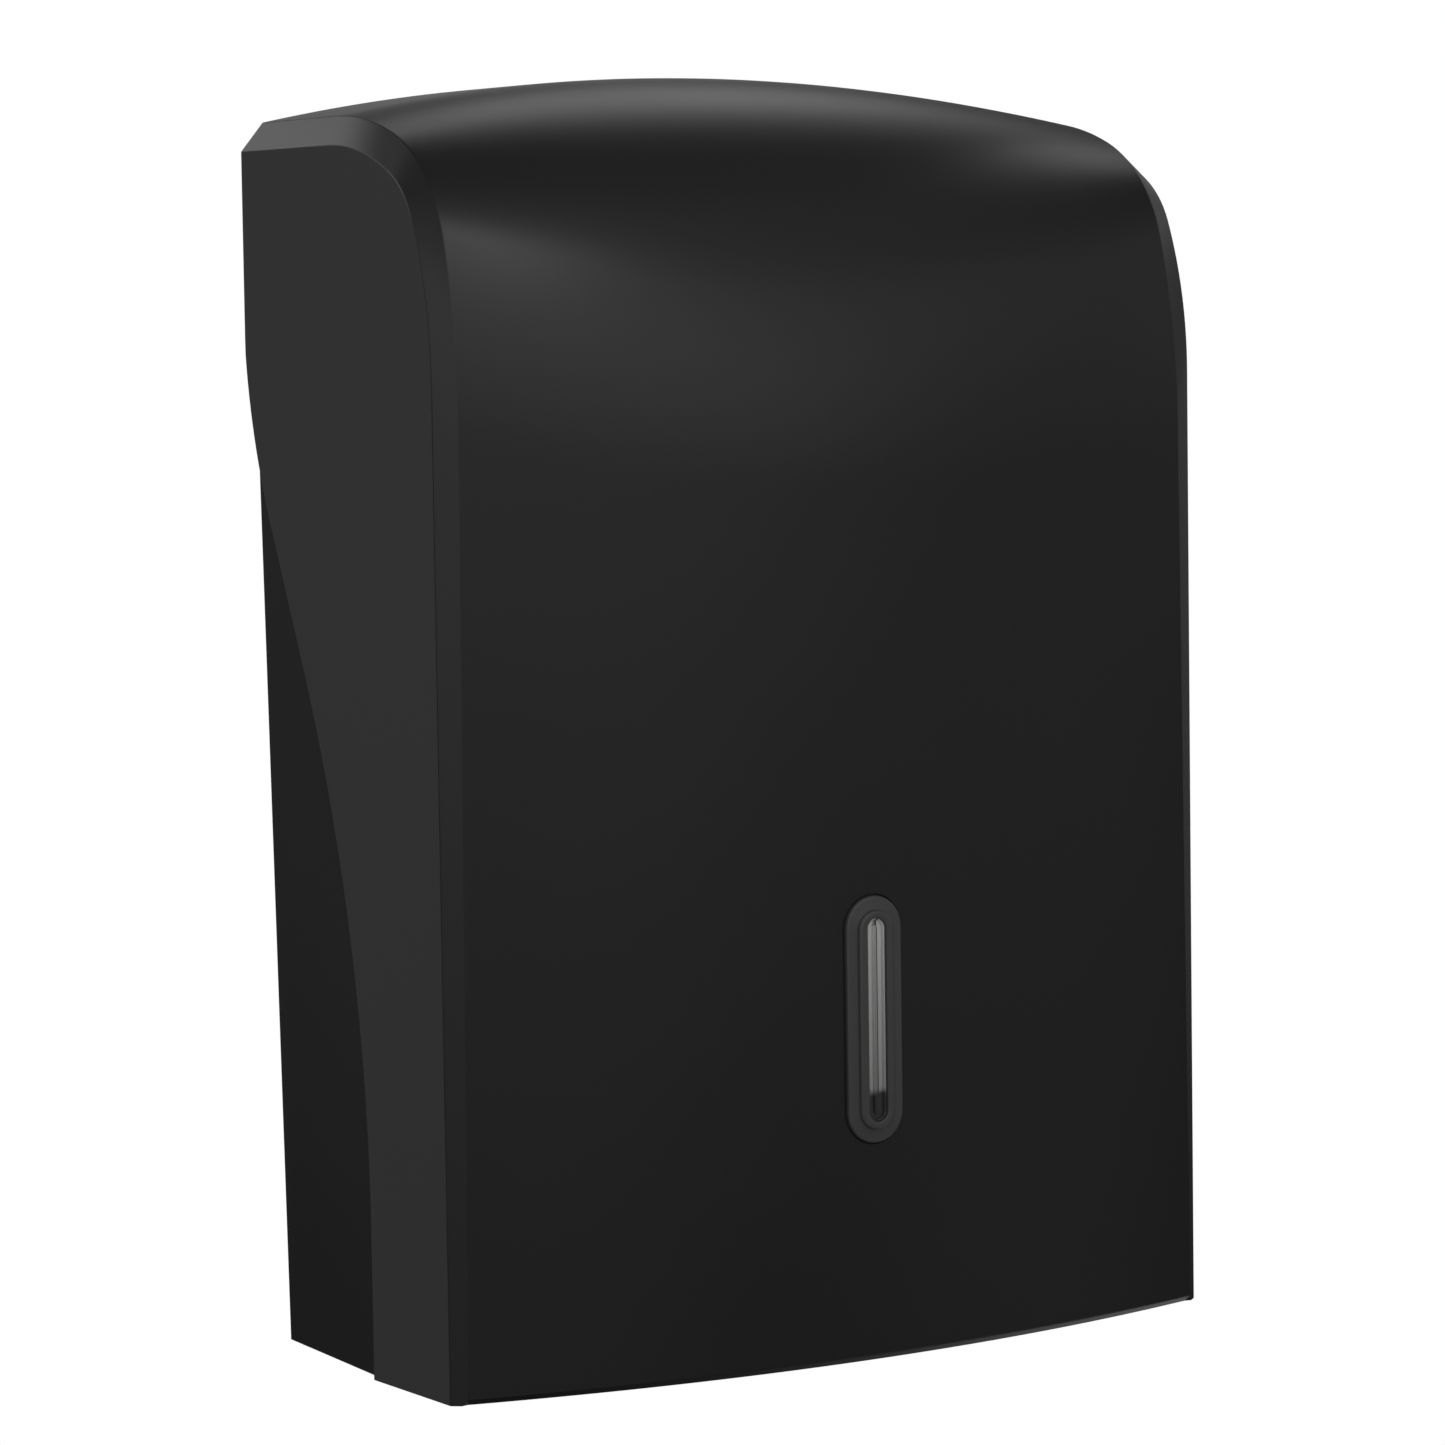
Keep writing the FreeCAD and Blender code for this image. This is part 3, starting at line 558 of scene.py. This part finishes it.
# the hinge lugs: a disc whose front half is drawn out to a foot on the skin, then extruded
hinge = next(joint for joint in frame["joints"] if joint["name"] == "cover_hinge")
hinge_y, hinge_z = hinge["pos_m"][1:]
lug_radius, lug_face, lug_width, pin_bore = 6 * MM, 127.5 * MM, 5.1 * MM, 2.52 * MM
foot = [Vector(p) * MM for p in ((-109, 6), (-121.3, 5), (-121.3, 30), (-109, 18))]
lengths = [(b - a).length for a, b in zip(foot, foot[1:])]
fittings = []
for sign in (-1, 1):
    bpy.ops.object.select_all(action="DESELECT")
    bpy.ops.mesh.primitive_circle_add(vertices=64, fill_type="NGON", radius=1, location=(0, 0, 0))
    lug = bpy.context.active_object
    lug.name = f"lug_{sign}"
    for number, vertex in enumerate(lug.data.vertices):
        turn = number * math.pi / 32
        if turn <= math.pi:
            place = Vector((hinge_y + lug_radius * math.sin(turn), hinge_z + lug_radius * math.cos(turn)))
        else:
            along = (turn / math.pi - 1) * sum(lengths)
            run = 0
            while along > lengths[run]:
                along -= lengths[run]
                run += 1
            place = foot[run].lerp(foot[run + 1], along / lengths[run])
        vertex.co = (sign * lug_face, *place)
    bpy.ops.object.mode_set(mode="EDIT")
    bpy.ops.mesh.extrude_region_move(TRANSFORM_OT_translate={"value": (sign * lug_width, 0, 0)})
    bpy.ops.mesh.select_all(action="SELECT")
    bpy.ops.mesh.normals_make_consistent(inside=False)
    bpy.ops.object.mode_set(mode="OBJECT")
    bpy.ops.object.select_all(action="DESELECT")
    bpy.ops.mesh.primitive_cylinder_add(
        vertices=48, radius=pin_bore, depth=20 * MM, location=(sign * 130 * MM, hinge_y, hinge_z),
        rotation=(0, math.pi / 2, 0))
    cut(lug, bpy.context.active_object)
    fittings.append(lug)

# the two locating ribs that reach down in front of the housing's shelf
rib_foot, rib_length, rib_width, rib_depth = (100 * MM, -34 * MM, 361 * MM), 28 * MM, 4 * MM, 2 * MM
for sign in (-1, 1):
    bpy.ops.object.select_all(action="DESELECT")
    bpy.ops.mesh.primitive_plane_add(size=1, location=(sign * rib_foot[0], *rib_foot[1:]))
    rib = bpy.context.active_object
    rib.scale = (rib_width, rib_depth, 1)
    bpy.ops.object.transform_apply(location=True, rotation=True, scale=True)
    bpy.ops.object.mode_set(mode="EDIT")
    bpy.ops.mesh.extrude_region_move(TRANSFORM_OT_translate={"value": (0, 0, rib_length)})
    bpy.ops.mesh.select_all(action="SELECT")
    bpy.ops.mesh.normals_make_consistent(inside=False)
    bpy.ops.object.mode_set(mode="OBJECT")
    fittings.append(rib)
for fitting in fittings:
    edge = fitting.modifiers.new("edge", "BEVEL")
    edge.width = 0.3 * MM
    edge.segments = 2
    edge.limit_method = "ANGLE"
    pick(fitting)
    bpy.ops.object.modifier_apply(modifier=edge.name)
join((cover, *fittings))

bpy.ops.object.shade_smooth_by_angle(angle=math.radians(32))
# the flats keep their own normals, so each radius carries its whole turn
flats = cover.modifiers.new("flats", "WEIGHTED_NORMAL")
flats.keep_sharp = True
flats.weight = 100
bpy.ops.object.modifier_apply(modifier=flats.name)

cover_black = moulded_material(
    "cover_black", (0.013, 0.013, 0.0135), (0.05, 0.05, 0.05), roughness=0.36, roughness_spread=0.04,
    grain_scale=2600.0, grain_depth=0.000012, rubbing=0.2, dust=0.02, edge_radius=0.0003)
dress(cover, cover_black)
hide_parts("front_cover")
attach(cover, "cover")


# ---------------------------------------------------------------- hinge pins
# Two headed steel pins, pressed into the cover's lugs. They turn in the nylon bushes.

for name in ("hinge_pin_left", "hinge_pin_right"):
    dress(nodes[name], zinc)


# ---------------------------------------------------------------- window bezel
# Satin dark grey oval frame moulded in one with its raised collar. It lies in the cover's
# pocket with a narrow gap all round, and its spigot goes through the skin.

def oval_size(half_width):
    """Width and height of the bezel's and the lens's outlines, by half width in mm."""
    if half_width > 6.4:
        rise = 68.0 + (half_width - 6.4) * 8.6 / 3.8
    else:
        rise = 63.0 + (half_width - 3.45) * 5.0 / 2.95
    return 2 * half_width * MM, rise * MM


def round_ring(piece, half_width, y, radius, segments):
    """Rounds the edges that run round an oval form at one half width and depth, in mm."""
    pick(piece)
    width, height = oval_size(half_width)

    def on_ring(place):
        off_end = max(0, abs(place.z - window_z) - (height - width) / 2)
        off_ring = abs(math.hypot(place.x, off_end) - width / 2)
        return abs(place.y - front_y - y * MM) < 0.01 * MM and off_ring < 0.1 * MM

    for face in piece.data.polygons:
        face.select = False
    for vertex in piece.data.vertices:
        vertex.select = on_ring(vertex.co)
    for edge in piece.data.edges:
        edge.select = all(piece.data.vertices[i].select for i in edge.vertices)
    bpy.ops.object.mode_set(mode="EDIT")
    bpy.ops.mesh.select_mode(type="EDGE")
    bpy.ops.mesh.bevel(offset=radius * MM, segments=segments, affect="EDGES")
    bpy.ops.object.mode_set(mode="OBJECT")


# from the flange's back edge round the front and back through the slot, seat and spigot
profile = ((10.2, 0.9), (10.2, -1.2), (6.4, -1.2), (6.4, -2.7), (3.45, -2.7), (3.45, 0.2), (4.95, 0.2),
           (4.95, 2.7), (6.4, 2.7), (6.4, 0.9), (10.2, 0.9))
bezel = oval_form("bezel", [(*oval_size(w), front_y + y * MM) for w, y in profile], window_z)
bpy.ops.object.mode_set(mode="EDIT")
bpy.ops.mesh.select_mode(type="FACE")
bpy.ops.mesh.select_all(action="DESELECT")
bpy.ops.object.mode_set(mode="OBJECT")
for face in bezel.data.polygons:
    face.select = len(face.vertices) > 4
bpy.ops.object.mode_set(mode="EDIT")
bpy.ops.mesh.delete(type="ONLY_FACE")
bpy.ops.mesh.select_all(action="SELECT")
bpy.ops.mesh.remove_doubles(threshold=0.001 * MM)
bpy.ops.mesh.normals_make_consistent(inside=False)
bpy.ops.object.mode_set(mode="OBJECT")
round_ring(bezel, 10.2, -1.2, 0.8, 5)
round_ring(bezel, 6.4, -1.2, 0.25, 3)
round_ring(bezel, 6.4, -2.7, 0.9, 5)
round_ring(bezel, 3.45, -2.7, 0.3, 3)
bpy.ops.object.shade_smooth_by_angle(angle=math.radians(35))
bezel_grey = moulded_material(
    "bezel_grey", (0.085, 0.085, 0.086), (0.12, 0.12, 0.12), roughness=0.32, roughness_spread=0.05,
    grain_scale=2400.0, grain_depth=0.000006, rubbing=0.25, dust=0.02, edge_radius=0.0002)
dress(bezel, bezel_grey)
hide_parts("window_bezel")
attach(bezel, "cover")


# ---------------------------------------------------------------- window lens
# Capsule of hazy plastic, seated behind the collar: a rim, a shallow trough and a rib down
# its middle. Little light passes, so the view through it is painted into its colour: painted
# light for the pale towels above and painted shade for the dark guard below.

# from the rim's back edge round the front to the rib's crown
profile = ((4.75, 2.6), (4.75, 0.3), (3.35, 0.3), (3.35, -1.8), (2.85, -1.8), (2.6, -0.7),
           (0.85, -0.7), (0.7, -1.6))
pane = oval_form("lens", [(*oval_size(w), front_y + y * MM) for w, y in profile], window_z)
round_ring(pane, 3.35, -1.8, 0.2, 3)
round_ring(pane, 2.85, -1.8, 0.2, 3)
round_ring(pane, 0.7, -1.6, 0.2, 3)
bpy.ops.object.shade_smooth_by_angle(angle=math.radians(30))

clear = bpy.data.materials.new("clear_lens")
clear.use_nodes = True
tree = clear.node_tree
shader = tree.nodes["Principled BSDF"]
shader.inputs["Transmission Weight"].default_value = 0.2
shader.inputs["IOR"].default_value = 1.49
place = tree.nodes.new("ShaderNodeTexCoord")
height = tree.nodes.new("ShaderNodeSeparateXYZ")
tree.links.new(place.outputs["Object"], height.inputs["Vector"])
haze = tree.nodes.new("ShaderNodeTexNoise")
haze.inputs["Scale"].default_value = 160.0
haze.inputs["Detail"].default_value = 4.0
tree.links.new(place.outputs["Object"], haze.inputs["Vector"])
waver = tree.nodes.new("ShaderNodeMath")
waver.operation = "MULTIPLY_ADD"
waver.inputs[1].default_value = 0.004
tree.links.new(haze.outputs["Fac"], waver.inputs[0])
tree.links.new(height.outputs["Z"], waver.inputs[2])
# where the towels' painted light gives way to the guard's painted shade, along a wavering line
above_guard = tree.nodes.new("ShaderNodeMapRange")
above_guard.interpolation_type = "SMOOTHSTEP"
above_guard.inputs["From Min"].default_value = 0.0845
above_guard.inputs["From Max"].default_value = 0.0875
tree.links.new(waver.outputs["Value"], above_guard.inputs["Value"])
# across from the left, all painted: the seat's shade, pale light, the rib's duller back in half shade, the
# shadow the rib casts at its foot and pale light again
across = tree.nodes.new("ShaderNodeMapRange")
across.inputs["From Min"].default_value = -0.0034
across.inputs["From Max"].default_value = 0.0034
tree.links.new(height.outputs["X"], across.inputs["Value"])
painted_bands = tree.nodes.new("ShaderNodeValToRGB")
painted_tones = ((0.0, 0.1), (0.18, 0.1), (0.2, 1.0), (0.39, 1.0), (0.43, 0.55), (0.545, 0.55),
         (0.56, 0.02), (0.63, 0.02), (0.65, 1.0), (0.97, 0.95))
for number, (position, tone) in enumerate(painted_tones):
    stop = painted_bands.color_ramp.elements[number] if number < 2 else painted_bands.color_ramp.elements.new(position)
    stop.position = position
    stop.color = (tone, tone, 0.985 * tone, 1)
tree.links.new(across.outputs["Result"], painted_bands.inputs["Fac"])
# painted light: the towels' pale bands grow brighter towards the top
rise = tree.nodes.new("ShaderNodeMapRange")
rise.inputs["From Min"].default_value = 0.085
rise.inputs["From Max"].default_value = 0.138
rise.inputs["To Min"].default_value = 0.6
rise.inputs["To Max"].default_value = 1.0
tree.links.new(waver.outputs["Value"], rise.inputs["Value"])
painted_towel_light = tree.nodes.new("ShaderNodeVectorMath")
painted_towel_light.operation = "SCALE"
tree.links.new(painted_bands.outputs["Color"], painted_towel_light.inputs[0])
tree.links.new(rise.outputs["Result"], painted_towel_light.inputs["Scale"])
# painted view through the lens: the dark guard's painted shade below, the towels' painted light above
behind = tree.nodes.new("ShaderNodeMix")
behind.data_type = "RGBA"
behind.inputs["A"].default_value = (0.07, 0.07, 0.07, 1)
tree.links.new(above_guard.outputs["Result"], behind.inputs["Factor"])
tree.links.new(painted_towel_light.outputs["Vector"], behind.inputs["B"])
tree.links.new(behind.outputs["Result"], shader.inputs["Base Color"])
polish = tree.nodes.new("ShaderNodeMapRange")
polish.inputs["To Min"].default_value = 0.08
polish.inputs["To Max"].default_value = 0.2
tree.links.new(haze.outputs["Fac"], polish.inputs["Value"])
tree.links.new(polish.outputs["Result"], shader.inputs["Roughness"])
ripple = tree.nodes.new("ShaderNodeBump")
ripple.inputs["Distance"].default_value = 0.00004
tree.links.new(haze.outputs["Fac"], ripple.inputs["Height"])
tree.links.new(ripple.outputs["Normal"], shader.inputs["Normal"])
dress(pane, clear)
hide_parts("window_lens")
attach(pane, "cover")


# ---------------------------------------------------------------- window retainer
# Moulded frame that holds the lens in its seat, with two self-tapping screws into the skin's bosses.

dress(nodes["window_retainer"], tray_grey)
dress(nodes["window_screws"], zinc)


# ---------------------------------------------------------------- cam lock
# Black-plated zinc lock let into the top and clamped from below by a hexagonal nut. The plug
# turns in the barrel and carries the cam on its square tail, under a washer and a screw.

lock_black = moulded_material(
    "lock_black", (0.016, 0.016, 0.017), (0.2, 0.2, 0.2), roughness=0.34, roughness_spread=0.08,
    grain_scale=1600.0, grain_depth=0.000005, rubbing=0.5, dust=0.05, edge_radius=0.0002)
for name in ("lock_barrel", "lock_plug"):
    dress(nodes[name], lock_black)
for name in ("lock_nut", "lock_cam", "cam_washer", "cam_screw"):
    dress(nodes[name], zinc)


# ---------------------------------------------------------------- stage, light and camera
# A pale floor well below the wall-hung object, as white as the room to the camera and left out
# of its reflections. Soft round panels stand round it, above and below, the brightest behind.

bpy.ops.object.select_all(action="DESELECT")
bpy.ops.mesh.primitive_plane_add(size=30, location=(0, 0, -0.22))
floor = bpy.context.active_object
floor.name = "floor"
floor.visible_glossy = False
floor.visible_diffuse = False
floor.visible_transmission = False
floor.visible_shadow = False
pale = bpy.data.materials.new("pale_floor")
pale.use_nodes = True
tree = pale.node_tree
shader = tree.nodes["Principled BSDF"]
shader.inputs["Base Color"].default_value = (0.85, 0.85, 0.85, 1)
shader.inputs["Roughness"].default_value = 0.7
white = tree.nodes.new("ShaderNodeEmission")
ray = tree.nodes.new("ShaderNodeLightPath")
choose = tree.nodes.new("ShaderNodeMixShader")
tree.links.new(ray.outputs["Is Camera Ray"], choose.inputs["Fac"])
tree.links.new(shader.outputs["BSDF"], choose.inputs[1])
tree.links.new(white.outputs["Emission"], choose.inputs[2])
tree.links.new(choose.outputs["Shader"], tree.nodes["Material Output"].inputs["Surface"])
dress(floor, pale)


def soft_panel(name, azimuth, elevation, spread, brightness, distance=4.0, aim=(0, -0.07, 0.2)):
    """Round area light aimed at a point and seen from it as a disc of the given half angle."""
    turn, lift = math.radians(azimuth), math.radians(elevation)
    towards = Vector((math.sin(turn) * math.cos(lift), math.cos(turn) * math.cos(lift), math.sin(lift)))
    radius = distance * math.tan(math.radians(spread))
    data = bpy.data.lights.new(name, "AREA")
    data.shape = "DISK"
    data.size = 2 * radius
    data.energy = (math.pi * radius) ** 2 * brightness
    light = bpy.data.objects.new(name, data)
    bpy.context.scene.collection.objects.link(light)
    light.location = Vector(aim) + distance * towards
    light.rotation_euler = (-towards).to_track_quat("-Z", "Y").to_euler()
    light.visible_camera = False


# azimuth (0 is behind the wall, 180 in front), elevation, half angle and brightness
for azimuth, elevation, spread, brightness in (
    (318, -5, 20, 0.32),
    (305, 20, 16, 1.0),
    (290, 45, 20, 1.8),
    (345, 30, 14, 1.2),
    (38, 40, 9, 1.2),
    (52, 44, 8, 0.6),
    (95, 15, 16, 0.3),
    (132, 8, 24, 0.2),
    (168, 12, 20, 0.48),
    (203, 6, 14, 0.95),
    (228, 2, 16, 0.45),
    (236, 30, 14, 0.35),
    (175, 30, 24, 0.25),
    (150, 36, 26, 0.2),
    (200, 36, 26, 0.2),
    (120, 62, 18, 0.12),
    (240, 62, 18, 0.2),
    (20, 42, 10, 0.2),
    (0, -38, 15, 0.6),
    (60, -38, 15, 0.6),
    (120, -38, 15, 0.5),
    (180, -38, 15, 0.5),
    (240, -38, 15, 0.5),
    (300, -38, 15, 0.6),
    (70, 12, 20, 0.4),
    (20, 2, 20, 0.5),
):
    soft_panel(f"panel_{azimuth}_{elevation}", azimuth, elevation, spread, brightness)

# two small lamps close by: one over the right shoulder, one in front of the left one
soft_panel("shoulder_right", 72, 50, 12, 1.2, 0.16, (0.128, -0.095, 0.373))
soft_panel("shoulder_left", 163, 33, 10, 2.2, 0.26, (-0.128, -0.116, 0.347))

world = bpy.data.worlds.new("studio")
bpy.context.scene.world = world
world.use_nodes = True
sky = world.node_tree
room = sky.nodes["Background"]
room.inputs["Color"].default_value = (1, 1, 1, 1)
room.inputs["Strength"].default_value = 0.03
white = sky.nodes.new("ShaderNodeBackground")
white.inputs["Color"].default_value = (1, 1, 1, 1)
ray = sky.nodes.new("ShaderNodeLightPath")
choose = sky.nodes.new("ShaderNodeMixShader")
sky.links.new(ray.outputs["Is Camera Ray"], choose.inputs["Fac"])
sky.links.new(room.outputs["Background"], choose.inputs[1])
sky.links.new(white.outputs["Background"], choose.inputs[2])
sky.links.new(choose.outputs["Shader"], sky.nodes["World Output"].inputs["Surface"])

bpy.context.scene.view_settings.view_transform = "Standard"

lens = bpy.data.cameras.new("camera")
lens.sensor_width = 36
lens.lens = 127.09
camera = bpy.data.objects.new("camera", lens)
bpy.context.scene.collection.objects.link(camera)
camera.matrix_world = (
    Matrix.Translation((-0.8789, -1.4248, 0.3209))
    @ Matrix.Rotation(math.radians(-32.698), 4, "Z")
    @ Matrix.Rotation(math.radians(90 - 4.493), 4, "X")
    @ Matrix.Rotation(math.radians(-0.816), 4, "Z"))
bpy.context.scene.camera = camera
